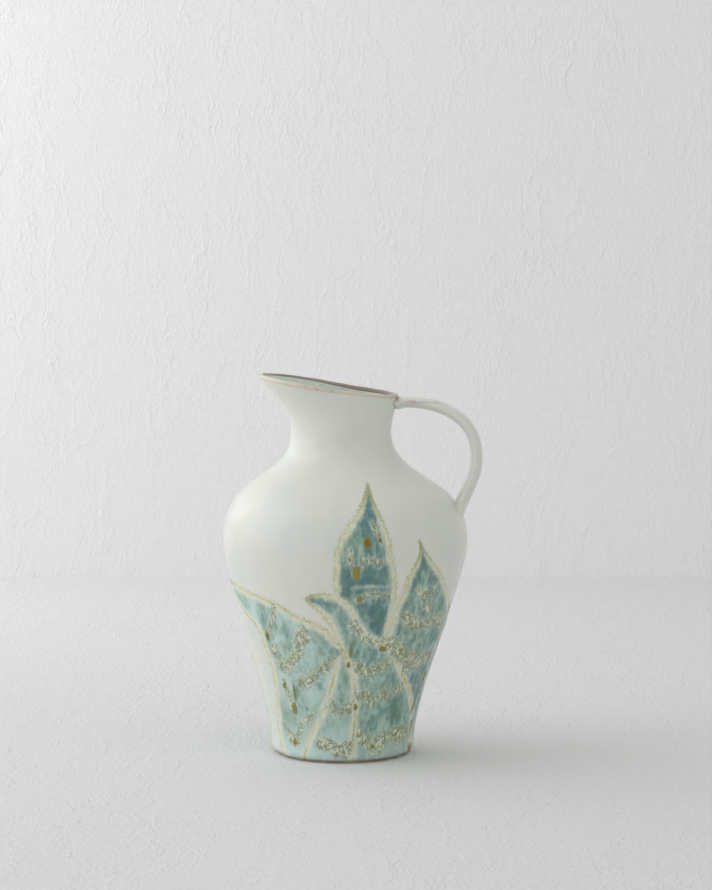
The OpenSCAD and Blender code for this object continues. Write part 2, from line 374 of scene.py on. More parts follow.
def makeHandleFinish():
    finish, bench = newFinish("whiteGlazeHandle")
    place = bench.node("ShaderNodeTexCoord", {}, {}, out="Object")
    x, y, z = bench.parts(place)
    colour, rough, wave = glazeGround(bench, place)
    ridge = bench.node("ShaderNodeAttribute", {"attribute_name": "ridge"}, {}, out="Fac")
    grainy = bench.noise(bench.scaled(place, (0.5, 1.0, 0.5)), 230.0, 4.0, 0.6)
    worn = ridge.eased(0.55, 1.0) * grainy.eased(0.42, 0.62)
    colour = bench.mixed(worn * 0.35, colour, tone(196, 188, 168))
    # a rosy brown stain on top of the strap, and brown where it meets the rim
    stain = bell((x / mm - 62.0) / 8.0) * bell((z / mm - 296.6) / 1.3) * grainy.eased(0.36, 0.52)
    colour = bench.mixed(stain * 0.7, colour, tone(176, 136, 120))
    # a grey band along the middle of the strap's upper run: painted shade, not a mark in the glaze
    paintedStrapShade = bell((z / mm - 296.0 + (x / mm - 60.0) * 0.02) / 0.9) * bell((x / mm - 78.0) / 14.0)
    colour = bench.mixed(paintedStrapShade * grainy.eased(0.3, 0.5) * 0.35, colour, tone(150, 146, 130))
    rootStain = bell((x / mm - 46.5) / 2.2) * z.eased(0.295, 0.299) * grainy.eased(0.3, 0.5)
    colour = bench.mixed(rootStain * 0.8, colour, tone(176, 132, 92))
    bump = bench.node("ShaderNodeBump", {}, {"Strength": 0.35, "Distance": 0.0006, "Height": wave})
    closeFinish(bench, {"Base Color": colour, "Roughness": rough - 0.10, "Normal": bump})
    return finish


rimTones = [                               # from the spout's tip (x = -70 mm) round to the handle (x = 50 mm)
    (0.00, tone(214, 200, 166)), (0.13, tone(222, 202, 148)), (0.24, tone(206, 176, 134)),
    (0.32, tone(204, 170, 156)), (0.39, tone(184, 148, 128)), (0.46, tone(160, 124, 96)),
    (0.56, tone(158, 118, 80)), (0.66, tone(174, 140, 98)), (0.80, tone(172, 143, 106)),
    (1.00, tone(164, 134, 108)),
]


def makeRimFinish():
    finish, bench = newFinish("thinRimGlaze")
    place = bench.node("ShaderNodeTexCoord", {}, {}, out="Object")
    x, y, z = bench.parts(place)
    crest = bench.node("ShaderNodeAttribute", {"attribute_name": "crest"}, {}, out="Fac")
    run = bench.noise(place, 160.0, 4.0, 0.6)
    fine = bench.noise(place, 620.0, 3.0, 0.6)
    share = (x / mm + 70.0) / 120.0 + (run - 0.5) * 0.10
    colour = bench.node("ShaderNodeValToRGB", {"stops": rimTones}, {0: share})
    colour = bench.mixed(fine.eased(0.55, 0.75) * 0.5, colour, tone(92, 58, 36))
    colour = bench.mixed(run.eased(0.58, 0.75) * 0.6, colour, tone(206, 186, 150))
    # the glaze creeps back over the band's lower edges; the dark line along the inner edge is partly painted shadow
    # and painted dark reflection, partly thin brown glaze
    across = bench.node("ShaderNodeAttribute", {"attribute_name": "across"}, {}, out="Fac")
    creep = 1.0 - (crest + (run - 0.5) * 0.7 - across * 1.9).eased(0.02, 0.34)
    colour = bench.mixed(creep * 0.9, colour, tone(222, 216, 198))
    # painted shadow and painted dark reflection along the inner edge, with some brown glaze
    colour = bench.mixed(bell((across - 0.66) / 0.08) * 0.75, colour, tone(120, 102, 84))
    rough = 0.28 + fine * 0.2
    bump = bench.node("ShaderNodeBump", {}, {"Strength": 0.5, "Distance": 0.0003, "Height": run + fine * 0.4})
    closeFinish(bench, {"Base Color": colour, "Roughness": rough, "Normal": bump, "IOR": 1.5})
    return finish


def makeClayFinish():
    finish, bench = newFinish("bareClay")
    place = bench.node("ShaderNodeTexCoord", {}, {}, out="Object")
    grain = bench.noise(place, 900.0, 4.0, 0.65)
    patch = bench.noise(place, 60.0, 3.0, 0.5)
    colour = bench.mixed(patch.eased(0.35, 0.65), tone(206, 194, 172), tone(182, 164, 138))
    colour = bench.mixed(grain.eased(0.58, 0.7) * 0.5, colour, tone(130, 110, 86))
    bump = bench.node("ShaderNodeBump", {}, {"Strength": 0.6, "Distance": 0.0002, "Height": grain})
    closeFinish(bench, {"Base Color": colour, "Roughness": 0.72 + grain * 0.2, "Normal": bump})
    return finish


leafTones = {
    "deep": tone(68, 116, 118), "mid": tone(112, 154, 140), "light": tone(176, 201, 186),
    "green": tone(106, 142, 112), "cream": tone(236, 237, 220), "warm": tone(234, 230, 206),
    "fringe": tone(220, 221, 182), "olive": tone(162, 162, 92), "rust": tone(122, 88, 20),
    "oliveDrop": tone(142, 136, 36), "granule": tone(240, 240, 202), "granuleEdge": tone(120, 118, 60),
    "sky": tone(200, 222, 216), "blue": tone(84, 122, 150), "tipGreen": tone(126, 138, 84),
    "mustard": tone(190, 176, 70),
}


def makeLeafFinish():
    shade = leafTones
    finish, bench = newFinish("leafGlaze")
    place = bench.node("ShaderNodeTexCoord", {}, {}, out="Object")
    x, y, z = bench.parts(place)
    ground, groundRough, wave = glazeGround(bench, place)
    near = bench.parts(bench.node("ShaderNodeAttribute", {"attribute_name": "leafNear"}, {}, out="Vector"))
    far = bench.parts(bench.node("ShaderNodeAttribute", {"attribute_name": "leafFar"}, {}, out="Vector"))
    marks = bench.parts(bench.node("ShaderNodeAttribute", {"attribute_name": "glazeMarks"}, {}, out="Vector"))
    depth = near[0].most(near[1]).most(near[2]).most(far[0]).most(far[1])
    free = far[2]                          # 1 by an outer edge, 0 by a neighbour leaf
    tip = bench.node("ShaderNodeAttribute", {"attribute_name": "leafTip"}, {}, out="Fac")
    streaky = bench.scaled(place, (1.0, 1.0, 0.28))
    spikes = bench.noise(bench.scaled(place, (1.0, 1.0, 0.17)), 640.0, 2.0, 0.6)
    crumbs = bench.noise(place, 900.0, 2.0, 0.6)
    swirl = bench.noise(streaky, 95.0, 4.0, 0.6)
    runs = bench.noise(streaky, 260.0, 4.0, 0.6)
    broad = bench.noise(place, 36.0, 3.0, 0.5)

    edge = depth + ((spikes - 0.5) * (3.0 + 7.0 * free) + (crumbs - 0.5) * 3.0) * (1.0 - 0.75 * tip)
    covered = edge.eased(-2.2, 0.2)
    fringed = 1.0 - edge.eased(-0.4, 4.8)
    pale = bench.node("ShaderNodeAttribute", {"attribute_name": "leafPale"}, {}, out="Fac")
    shorter = 1.0 - 0.72 * tip
    tealStart = (-0.6 + 1.6 * free) * shorter
    inner = depth + ((runs - 0.5) * 8.0 + (spikes - 0.5) * 6.0) * shorter
    teal = ((inner - tealStart) / (6.5 * shorter)).held().eased(0.0, 1.0)

    colour = bench.mixed(runs.eased(0.36, 0.64), shade["mid"], shade["light"])
    colour = bench.mixed(((swirl - pale * 0.25).eased(0.42, 0.64)) * 0.75, colour, shade["deep"])
    blotch = bench.noise(bench.scaled(place, (1.0, 1.0, 0.5)), 58.0, 3.0, 0.6)
    colour = bench.mixed(pale.held() * (0.10 + blotch.eased(0.36, 0.66) * 0.9), colour, shade["sky"])
    colour = bench.mixed(broad.eased(0.50, 0.70) * 0.5, colour, shade["green"])
    colour = bench.mixed(spikes.eased(0.56, 0.76) * 0.3, colour, shade["sky"])
    colour = bench.mixed(tip * 0.55, colour, shade["blue"])
    lowPale = 1.0 - (z / mm + (swirl - 0.5) * 30.0).eased(4.0, 26.0 + pale.held() * 26.0)
    colour = bench.mixed(lowPale * (0.5 + pale.held() * 0.4), colour, shade["sky"])

    cream = bench.mixed(swirl.eased(0.4, 0.65), shade["cream"], shade["warm"])
    cream = bench.mixed(crumbs.eased(0.52, 0.70) * 0.5, cream, shade["fringe"])
    colour = bench.mixed(1.0 - teal, colour, cream)
    fringe = bench.mixed(crumbs.eased(0.46, 0.60) * 0.75, shade["fringe"], shade["olive"])
    fringe = bench.mixed((1.0 - edge.eased(-1.2, 1.2)) * 0.6, fringe, shade["olive"])
    fringe = bench.mixed(tip * 0.8, fringe, shade["tipGreen"])
    colour = bench.mixed(fringed * (0.25 + 0.6 * free), colour, fringe)
    vein = (1.0 - (depth + (runs - 0.5) * 2.0).eased(0.3, 1.3)) * (1.0 - free.eased(0.1, 0.5))
    veinTone = bench.mixed(swirl.eased(0.45, 0.6), shade["olive"], shade["mustard"])
    colour = bench.mixed(vein * blotch.eased(0.40, 0.58) * spikes.eased(0.36, 0.56) * 0.8, colour, veinTone)

    cells = bench.node("ShaderNodeTexVoronoi", {"feature": "F1"},
                       {"Vector": bench.scaled(place, (1.0, 1.0, 0.6)), "Scale": 700.0}, out=(0, 1))
    cellPick = bench.parts(cells[1])[0]
    torn = (runs - 0.5) * 3.4 + (crumbs - 0.5) * 2.4 + (blotch - 0.5) * 3.0
    haze = (marks[0] * 0.8 + 0.5 + torn * 0.5).eased(-0.5, 0.9)
    colour = bench.mixed(haze * 0.45, colour, shade["sky"])
    band = (marks[0] * 0.9 + torn).eased(-0.25, 0.35)
    rim = cells[0].eased(0.28, 0.52)
    granule = bench.mixed(cellPick.eased(0.2, 0.9), shade["granule"], shade["light"])
    granule = bench.mixed(rim * cellPick.eased(0.0, 0.45) * 0.85, granule, shade["granuleEdge"])
    colour = bench.mixed(band * (0.35 + 0.5 * rim), colour, granule)
    drop = (marks[1] + (crumbs - 0.5) * 0.5 + (spikes - 0.5) * 0.5).eased(0.0, 0.30)
    dropTone = bench.mixed((marks[1] * marks[2] + (crumbs - 0.5) * 0.4).eased(0.25, 0.70),
                           shade["oliveDrop"], shade["rust"])
    dropTone = bench.mixed(crumbs.eased(0.60, 0.74) * 0.3, dropTone, shade["granule"])
    dropTone = bench.mixed((1.0 - (marks[1] + (crumbs - 0.5) * 0.3).eased(0.10, 0.40)) * 0.5, dropTone,
                           shade["granuleEdge"])
    colour = bench.mixed(drop * 0.92, colour, dropTone)

    colour = bench.mixed(covered, ground, colour)
    low = z / mm + (crumbs - 0.5) * 1.6
    colour = bench.mixed((1.0 - low.eased(2.0, 3.0)) * 0.6, colour, tone(150, 136, 108))
    rough = groundRough + covered * (0.03 + band * rim * 0.22)
    height = wave * 0.3 + covered * (runs * 0.25 + band * (1.0 - rim) * 0.8 + drop * 0.7)
    bump = bench.node("ShaderNodeBump", {}, {"Strength": 0.6, "Distance": 0.0005, "Height": height})
    closeFinish(bench, {"Base Color": colour, "Roughness": rough, "Normal": bump, "IOR": 1.52})
    return finish


def makeVessel(finish):
    sizes = dict(pot)
    sizes["Columns"] = mesh["columns"] + 1
    tree, bench, p, marks = newShape("vesselWall", sizes)
    lowR, lowZ = lowerEnds(pot)
    floorTop = pot["Ring Height"] + pot["Floor"]
    cornerTop = floorTop + pot["Wall"]
    shares = np.linspace(0, 0.3, 3001)
    cornerShare = float(shares[np.searchsorted(bezier(lowZ, shares), cornerTop)])
    sheets = []

    def addSheet(rows, shape, inside):
        sheet, u, v = gridShares(bench, p["Columns"], rows + 1)
        turn = u * math.tau
        radius, z, lipGap = shape(turn, v)
        radius = radius + handRipple(turn, z)
        laid = placed(bench, sheet, radius * cosine(turn) + handShift(z), radius * sine(turn), z)
        laid = bench.node("GeometryNodeStoreNamedAttribute", {"data_type": "FLOAT", "domain": "POINT"},
                          {"Geometry": laid, "Name": "inside", "Value": inside})
        laid = bench.node("GeometryNodeStoreNamedAttribute", {"data_type": "FLOAT", "domain": "POINT"},
                          {"Geometry": laid, "Name": "lipGap", "Value": lipGap})
        sheets.append(laid)

    def offset(ends, t, thick):
        # the inner face: the outer one moved in along its normal
        dr, dz = bezierSlope(ends[0], t), bezierSlope(ends[1], t)
        long = root(dr * dr + dz * dz)
        return bezier(ends[0], t) - dz / long * thick, bezier(ends[1], t) + dr / long * thick

    def under(turn, v):
        return v * (p["Foot Radius"] - p["Heel Radius"]), v * 0.0 + p["Ring Height"], 99.0

    def heel(turn, v):
        swing = v * (math.pi / 2) - math.pi / 2
        return (p["Foot Radius"] - p["Heel Radius"] + p["Heel Radius"] * cosine(swing),
                p["Ring Height"] + p["Heel Radius"] + p["Heel Radius"] * sine(swing), 99.0)

    def lower(turn, v):
        ends = lowerEnds(p)
        return bezier(ends[0], v), bezier(ends[1], v), 99.0

    def shoulder(turn, v):
        ends = upperEnds(p)
        return bezier(ends[0], v), bezier(ends[1], v), 99.0

    def neck(turn, v):
        radii, heights, stop = mouthEnds(p, turn)
        t = v * stop
        z = bezier(heights, t)
        return bezier(radii, t), z, bezier(heights, stop) - z

    def crest(turn, v):
        radii, heights, stop = mouthEnds(p, turn)
        inR, inZ = offset((radii, heights), stop, p["Lip"])
        outR, outZ = bezier(radii, stop), bezier(heights, stop)
        return outR + (inR - outR) * v, outZ + (inZ - outZ) * v, 0.0

    def neckInside(turn, v):
        radii, heights, stop = mouthEnds(p, turn)
        t = (1.0 - v) * stop
        thick = p["Wall"] + (p["Lip"] - p["Wall"]) * (1.0 - v)
        radius, z = offset((radii, heights), t, thick)
        return radius, z, bezier(heights, stop) - z

    def shoulderInside(turn, v):
        radius, z = offset(upperEnds(p), 1.0 - v, p["Wall"])
        return radius, z, 99.0

    def lowerInside(turn, v):
        radius, z = offset(lowerEnds(p), 1.0 - v * (1.0 - cornerShare), p["Wall"])
        return radius, z, 99.0

    def corner(turn, v):
        radius, z = offset(lowerEnds(p), v * 0.0 + cornerShare, p["Wall"])
        swing = v * (-math.pi / 2)
        drop = z - (p["Ring Height"] + p["Floor"])
        return radius - p["Wall"] + p["Wall"] * cosine(swing), z + drop * sine(swing), 99.0

    def floor(turn, v):
        radius, z = offset(lowerEnds(p), v * 0.0 + cornerShare, p["Wall"])
        return (radius - p["Wall"]) * (1.0 - v), v * 0.0 + p["Ring Height"] + p["Floor"], 99.0

    addSheet(8, under, 0.0)
    addSheet(6, heel, 0.0)
    addSheet(90, lower, 0.0)
    addSheet(56, shoulder, 0.0)
    addSheet(30, neck, 0.0)
    addSheet(2, crest, 0.0)
    addSheet(24, neckInside, 1.0)
    addSheet(34, shoulderInside, 1.0)
    addSheet(50, lowerInside, 1.0)
    addSheet(4, corner, 1.0)
    addSheet(10, floor, 1.0)
    closeShape(bench, sheets, finish)
    return shapeToMesh("vesselWall", tree, marks, sizes)


def makeRim(finish):
    sizes = dict(pot)
    sizes["Columns"] = mesh["rimColumns"] + 1
    sizes["Rows"] = 25
    tree, bench, p, marks = newShape("rimBand", sizes)
    sheet, u, v = gridShares(bench, p["Columns"], p["Rows"])
    turn = u * math.tau
    radii, heights, stop = mouthEnds(p, turn)
    dr, dz = bezierSlope(radii, stop), bezierSlope(heights, stop)
    long = root(dr * dr + dz * dz)
    up = (v / 0.25).held()
    over = ((v - 0.25) / 0.42).held()
    down = ((v - 0.67) / 0.21).held()
    back = ((v - 0.88) / 0.12).held()
    half = p["Lip"] / 2.0
    swell = 1.0 + 0.10 * sine(turn * 9.0 + 1.0) * sine(turn * 4.0)   # the band isn't quite even
    along = (p["Band Height"] - half) * (up - down) + half * sine(over * math.pi) * swell
    inward = half - half * cosine(over * math.pi) - p["Lip"] * back
    radius = bezier(radii, stop) + dr / long * along - dz / long * inward
    z = bezier(heights, stop) + dz / long * along + dr / long * inward
    laid = placed(bench, sheet, radius * cosine(turn) + handShift(z), radius * sine(turn), z)
    laid = bench.node("GeometryNodeStoreNamedAttribute", {"data_type": "FLOAT", "domain": "POINT"},
                      {"Geometry": laid, "Name": "crest", "Value": along / p["Band Height"]})
    laid = bench.node("GeometryNodeStoreNamedAttribute", {"data_type": "FLOAT", "domain": "POINT"},
                      {"Geometry": laid, "Name": "across", "Value": over})
    closeShape(bench, [laid], finish)
    return shapeToMesh("rimBand", tree, marks, sizes)


footRing = {"Ring Radius": 50.5, "Ring Width": 7.0, "Ring Height": 2.4, "Ring Columns": 181, "Ring Rows": 29}


def makeFootRing(finish):
    tree, bench, p, marks = newShape("footRing", footRing)
    sheet, u, v = gridShares(bench, p["Ring Columns"], p["Ring Rows"])
    turn, swing = u * math.tau, v * math.tau
    # a squared ring with rounded corners
    side = cosine(swing)
    rise = sine(swing)
    squareSide = side.maths("SIGN") * abs(side) ** 0.45
    squareRise = rise.maths("SIGN") * abs(rise) ** 0.45
    radius = p["Ring Radius"] + p["Ring Width"] / 2.0 * squareSide
    z = (p["Ring Height"] + 0.3) / 2.0 * (squareRise + 1.0)
    laid = placed(bench, sheet, radius * cosine(turn), radius * sine(turn), z)
    closeShape(bench, [laid], finish)
    return shapeToMesh("footRing", tree, marks, footRing)


strap = {
    "Thickness": 9.7, "Width": 19.0, "Lean": 8.0, "Start": 0.016, "Fillet": 1.6, "Fillet Span": 0.022,
    "Strap Columns": 57, "Strap Rows": 161,
}
strapPath = {                              # [x, z] ends of the two arcs of the loop
    "upperX": (38.4, 77.4, 112.8, 112.8), "upperZ": (295.2, 298.8, 286.7, 250.0),
    "lowerZ": (250.0, 231.8), "jointZ": 203.0, "jointLean": (0.35, 0.94), "jointDepth": 9.0,
    "tailPull": 31.5, "jointInset": 1.5,
}


def wallRadiusAt(height):
    radii, heights = upperEnds(pot)
    shares = np.linspace(0, 1, 2001)
    return float(np.interp(height, bezier(heights, shares), bezier(radii, shares)))


def makeHandle(finish):
    tree, bench, p, marks = newShape("handle", strap)
    sheet, u, v = gridShares(bench, p["Strap Columns"], p["Strap Rows"])
    leanX, leanZ = strapPath["jointLean"]
    jointX = wallRadiusAt(strapPath["jointZ"]) - strapPath["jointInset"] - strapPath["jointDepth"] * leanX
    jointZ = strapPath["jointZ"] - strapPath["jointDepth"] * leanZ
    pull = strapPath["tailPull"]
    upX, upZ = strapPath["upperX"], strapPath["upperZ"]
    lowX = (upX[3], upX[3], jointX + pull * leanX, jointX)
    lowZ = (*strapPath["lowerZ"], jointZ + pull * leanZ, jointZ)
    share = p["Start"] + v * (1.0 - p["Start"])
    first, second = (share * 2.0).held(), (share * 2.0 - 1.0).held()
    late = share.maths("GREATER_THAN", 0.5)
    x = bezier(upX, first) + bezier(lowX, second) - upX[3]
    z = bezier(upZ, first) + bezier(lowZ, second) - upZ[3]
    dx = bezierSlope(upX, first) * (1.0 - late) + bezierSlope(lowX, second) * late
    dz = bezierSlope(upZ, first) * (1.0 - late) + bezierSlope(lowZ, second) * late
    long = root(dx * dx + dz * dz)
    around = u * math.tau
    out, side = cosine(around), sine(around)
    squareOut = out.maths("SIGN") * abs(out) ** 1.28
    squareSide = side.maths("SIGN") * abs(side) ** 0.95
    cap = (v / 0.018).held() * ((1.0 - v) / 0.018).held()
    cap = root(1.0 - (1.0 - cap) * (1.0 - cap))
    fuller = 1.0 + 0.24 * bell((share - 0.72) / 0.28) * out.maths("LESS_THAN", 0.0)   # thicker on the inside, low down
    half = p["Thickness"] / 2.0 * (1.0 + 0.30 * share ** 14.0) * fuller
    wide = p["Width"] / 2.0 * (1.0 + 0.18 * abs(share * 2.0 - 1.0) ** 4.0)
    # clay pressed into the corner under the strap, at the rim
    fillet = p["Fillet"] * bell((share - 0.03) / p["Fillet Span"]) * (0.0 - out).most(0.0)
    # the pulled strap keeps a soft ridge along its back
    ridgeLine = bell(side / 0.42) * out.most(0.0)
    reach = (half * squareOut - fillet + 0.45 * (ridgeLine - 1.0) * out.most(0.0)) * cap
    x = x - dz / long * reach
    z = z + dx / long * reach
    y = -1.0 * wide * squareSide * cap - p["Lean"] * share * share
    laid = placed(bench, sheet, x, y, z)
    laid = bench.node("GeometryNodeStoreNamedAttribute", {"data_type": "FLOAT", "domain": "POINT"},
                      {"Geometry": laid, "Name": "ridge", "Value": ridgeLine})
    closeShape(bench, [laid], finish)
    return shapeToMesh("handle", tree, marks, strap)


# edges as (bearing in degrees from the front towards the handle, height in mm); neighbours share edges
leafEdges = {
    "tallLeft": [(1, 143), (0, 153), (0, 166), (1, 182), (4, 195), (8, 205), (12, 213), (17, 223), (23, 233)],
    "tallRight": [(23, 233), (21.5, 222), (22.5, 211), (24, 200), (25.5, 188), (27, 173), (29, 159), (30, 145),
                  (30, 132), (29, 119), (28.5, 111), (30, 101)],
    "tallFoot": [(1, 143), (3.5, 141), (8, 133), (12, 122), (17, 112), (24, 105), (30, 101)],
    "frontTop": [(-15, 142), (-12, 144.5), (-7, 146.5), (-2, 145.5), (1, 143)],
    "frontRight": [(30, 101), (33, 97), (37, 91), (44, 77), (54, 63), (64, 47), (72, 28), (74, 12), (72, -6)],
    "frontLeft": [(-15, 142), (-11, 136), (-7, 130), (-3, 122), (0, 112), (4, 100)],
    "frontLow": [(4, 100), (8, 88), (12, 73), (13.5, 56), (14, 39), (13, 19), (13, -6)],
    "smallLeft": [(4, 100), (1, 86), (-1, 73), (-5, 57), (-10, 42), (-17, 28), (-24, 12), (-31, -6)],
    "leftTop": [(-83, 149), (-72, 146.5), (-63, 145), (-54, 143), (-46, 141), (-38, 138), (-29, 134), (-23, 128),
                (-17, 124), (-10, 120), (-4, 114), (0, 106), (4, 100)],
    "leftLow": [(-51, -6), (-52, 7), (-54, 16), (-54, 30), (-50, 47), (-47, 64), (-46, 81), (-48, 98),
                (-50, 110), (-54, 117), (-61, 122), (-67, 129), (-74, 138), (-83, 149)],
    "rightLeft": [(41, 189), (41.5, 180), (39, 169), (36, 158), (34, 146), (32, 135), (31, 122), (30, 109), (30, 101)],
    "rightSide": [(101, -6), (101, 20), (100, 50), (99, 75), (97, 95), (91, 111), (83, 121), (76, 130), (69, 139),
                  (61, 152), (54, 163), (48, 172), (44, 180), (41, 189)],
}
# granule bands: (half width in mm, points)
granuleBands = [
    (3.0, [(7, 181), (8, 173), (10, 163), (12, 171), (16, 175), (20, 171), (23, 174)]),
    (1.5, [(8, 152), (12, 153), (18, 153), (27, 152)]), (3.0, [(10, 142), (12, 143), (18, 147), (24, 146), (27, 144)]),
    (4.0, [(11, 122), (14, 111), (17, 108), (24, 104), (29, 101)]), (2.0, [(18, 204), (20, 196), (22, 188)]),
    (5.0, [(14, 86), (19, 78), (25, 82), (32, 87)]), (4.5, [(17, 59), (25, 55), (35, 59), (45, 63)]),
    (6.0, [(20, 23), (28, 14), (40, 20), (60, 22)]), (5.0, [(38, 124), (46, 117), (55, 117), (69, 117)]),
    (6.0, [(34, 103), (43, 90), (54, 84), (70, 90)]), (3.5, [(44, 148), (50, 136), (55, 125)]),
    (3.0, [(54, 148), (54, 135)]), (5.0, [(-40, 94), (-34, 83), (-25, 93), (-17, 112)]),
    (4.5, [(-24, 68), (-14, 75), (-6, 86), (-3, 90)]), (2.0, [(-38, 68), (-34, 50), (-32, 41)]),
    (3.5, [(-45, 30), (-35, 16), (-26, 32), (-17, 43)]), (2.5, [(-33, 134), (-37, 120), (-43, 107)]),
    (4.0, [(-2, 52), (3, 47), (12, 49)]), (5.0, [(-15, 18), (-3, 14), (8, 12)]),
]
# drops: bearing, height, half width and half height in mm, share of rust in the middle
glazeDrops = [
    (15, 189, 4.2, 6.2, 1.0), (10, 164, 3.6, 7.5, 0.4), (9, 98, 1.8, 7.0, 0.3), (8, 86, 2.0, 3.2, 0.8),
    (-43, 107, 2.8, 5.2, 1.0), (-29.5, 60, 1.6, 9.0, 0.4), (-31.5, 46, 2.8, 6.0, 0.5), (28, 99, 4.0, 2.6, 0.6),
    (12, 143, 2.6, 3.2, 0.3), (-37, 65, 2.2, 3.2, 0.4), (14, 49, 2.0, 3.5, 0.8), (74, 7, 5.5, 4.5, 0.6),
    (73, 24, 2.2, 9.0, 0.5), (68, 42, 1.5, 8.0, 0.5), (79, 127, 1.6, 9.0, 0.4), (29, 14, 2.2, 2.2, 0.4),
    (71, 85, 1.6, 6.0, 0.3), (74, 68, 1.4, 6.0, 0.3), (-35, 17, 2.4, 3.4, 0.6), (21, 191, 1.6, 2.4, 1.0),
]


def smoothed(points, steps=5):
    # a soft line through every point
    p = np.array(points, float)
    p = np.vstack([2 * p[0] - p[1], p, 2 * p[-1] - p[-2]])
    t = np.linspace(0, 1, steps, endpoint=False)[:, None]
    runs = []
    for a, b, c, d in zip(p[:-3], p[1:-2], p[2:-1], p[3:]):
        runs.append(0.5 * (2 * b + (c - a) * t + (2 * a - 5 * b + 4 * c - d) * t ** 2 + (3 * b - a - 3 * c + d) * t ** 3))
    return np.vstack(runs + [p[-2:-1]])


def outlineOf(*edges):
    # edges in order; a name that starts with "-" is walked backwards
    run = []
    for edge in edges:
        line = smoothed(leafEdges[edge.lstrip("-")])
        run.append(line[::-1] if edge.startswith("-") else line)
    return np.vstack(run)


leafOutlines = {
    "tallLeaf": outlineOf("tallLeft", "tallRight", "-tallFoot"),
    "frontLeaf": outlineOf("frontTop", "tallFoot", "frontRight", "-frontLow", "-frontLeft"),
    "rightLeaf": outlineOf("rightLeft", "frontRight", "rightSide"),
    "leftLeaf": outlineOf("leftTop", "smallLeft", "leftLow"),
    "smallLeaf": outlineOf("smallLeft", "-frontLow"),
}
leafPale = {"tallLeaf": -0.3, "frontLeaf": 0.15, "rightLeaf": 0.05, "leftLeaf": 1.0, "smallLeaf": 0.7}
leafTips = [(21, 226, 16), (41, 184, 14), (-80, 146, 16), (-12, 143, 7), (2, 96, 5)]   # bearing, height, reach in mm
leafNodes = {"tallLeaf": "tall_leaf", "frontLeaf": "front_leaf", "rightLeaf": "right_leaf",
             "leftLeaf": "left_leaf", "smallLeaf": "small_leaf"}
leafLayer = {"step": 0.9, "columnStep": 0.56, "low": -95.0, "high": 112.0, "top": 240.0,
             "height": 0.55, "skin": 0.03, "sink": 0.35, "margin": 4.5}


def segmentGap(bearing, height, scale, a, b):
    # distance in mm from each point to one straight stretch
    px, pz = (bearing - a[0]) * scale, height - a[1]
    sx, sz = (b[0] - a[0]) * scale, b[1] - a[1]
    t = np.clip((px * sx + pz * sz) / np.maximum(sx * sx + sz * sz, 1e-9), 0, 1)
    return np.hypot(px - sx * t, pz - sz * t)


def lineGap(bearing, height, scale, line):
    gap = np.full(bearing.shape, 99.0)
    for a, b in zip(line[:-1], line[1:]):
        gap = np.minimum(gap, segmentGap(bearing, height, scale, a, b))
    return gap


def outlineDepth(bearing, height, scale, outline):
    # how far inside an outline each point lies; below zero outside
    closed = np.vstack([outline, outline[:1]])
    reach = 12.0
    (left, low), (right, high) = closed.min(0), closed.max(0)
    close = ((bearing > left - reach) & (bearing < right + reach) & (height > low - reach) & (height < high + reach))
    depth = np.full(bearing.shape, -30.0)
    bearing, height, scale = bearing[close], height[close], scale[close]
    gap = lineGap(bearing, height, scale, closed)
    inside = np.zeros(bearing.shape, bool)
    for a, b in zip(closed[:-1], closed[1:]):
        if a[1] == b[1]:
            continue
        crosses = (a[1] > height) != (b[1] > height)
        at = a[0] + (height - a[1]) / (b[1] - a[1]) * (b[0] - a[0])
        inside ^= crosses & (bearing < at)
    depth[close] = np.where(inside, gap, -gap)
    return depth


def outerLine():
    # the outer profile from under the heel to the throat, points even in length: radius, height, and normal
    swing = np.linspace(-math.pi / 2, 0, 40)
    heelR = pot["Foot Radius"] - pot["Heel Radius"] + pot["Heel Radius"] * np.cos(swing)
    heelZ = pot["Ring Height"] + pot["Heel Radius"] + pot["Heel Radius"] * np.sin(swing)
    t = np.linspace(0, 1, 1500)
    low, up = lowerEnds(pot), upperEnds(pot)
    r = np.concatenate([heelR[:-1], bezier(low[0], t)[:-1], bezier(up[0], t)])
    z = np.concatenate([heelZ[:-1], bezier(low[1], t)[:-1], bezier(up[1], t)])
    run = np.concatenate([[0], np.cumsum(np.hypot(np.diff(r), np.diff(z)))])
    keep = z < leafLayer["top"]
    stop = run[keep][-1]
    even = np.linspace(0, stop, int(stop / leafLayer["step"]))
    er, ez = np.interp(even, run, r), np.interp(even, run, z)
    dr, dz = np.gradient(er), np.gradient(ez)
    long = np.hypot(dr, dz)
    return er, ez, dz / long, -dr / long


